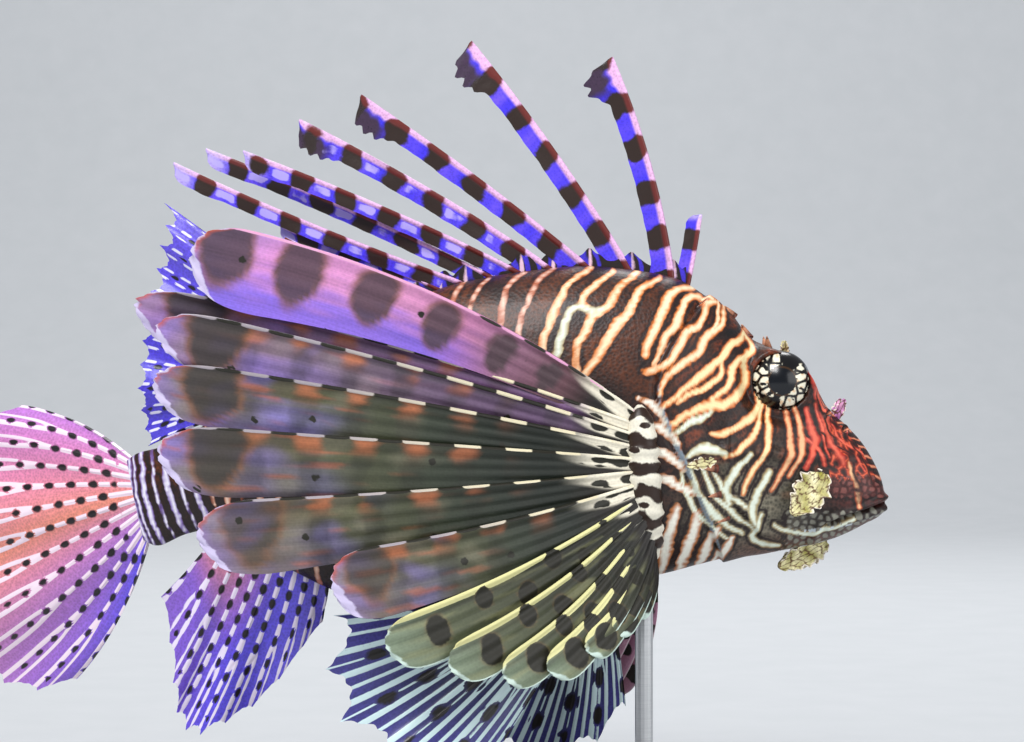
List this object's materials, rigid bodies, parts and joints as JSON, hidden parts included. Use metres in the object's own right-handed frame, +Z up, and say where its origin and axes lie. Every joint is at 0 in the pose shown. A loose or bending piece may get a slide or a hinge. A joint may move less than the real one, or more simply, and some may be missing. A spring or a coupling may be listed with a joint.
{
  "type": "red lionfish model on a display stand",
  "caption": "Life-size still red lionfish with fanned banded fins and raised dorsal spines, held over a flat base by slim rods.",
  "frame": {"origin": "middle of the underside of the stand's base", "axes": "+X from tail to snout, +Y towards the fish's left side, +Z up; its right side faces -Y"},
  "size_m": [0.3268, 0.1378, 0.2703],
  "materials": {
    "skin_head": "satin wet skin, maroon with cream and orange stripes",
    "skin_body": "satin skin with fine scales, maroon with pale stripes",
    "eye": "glossy clear cornea over a dark iris with cream patches",
    "fin_spines": "satin membrane banded dark brown and blue-violet",
    "fin_membrane": "thin satin membrane with pale rays and dark spots",
    "fin_blades": "thin satin membrane, olive with dark blotches and banded rays",
    "stand_base": "fine matt black",
    "stand_rod": "brushed along its length"
  },
  "bodies": {
    "root": {"head": "skin_head", "lower_jaw": "skin_head", "trunk": "skin_body", "tail_stem": "skin_body", "eye_right": "eye", "eye_left": "eye", "fin_dorsal_spiny": "fin_spines", "fin_dorsal_soft": "fin_membrane", "fin_anal": "fin_membrane", "fin_caudal": "fin_membrane", "fin_pectoral_right": "fin_blades", "fin_pectoral_left": "fin_blades", "fin_pelvic_right": "fin_membrane", "fin_pelvic_left": "fin_membrane", "stand_base": "stand_base", "stand_rod_front": "stand_rod", "stand_rod_rear": "stand_rod"}
  },
  "joints": []
}
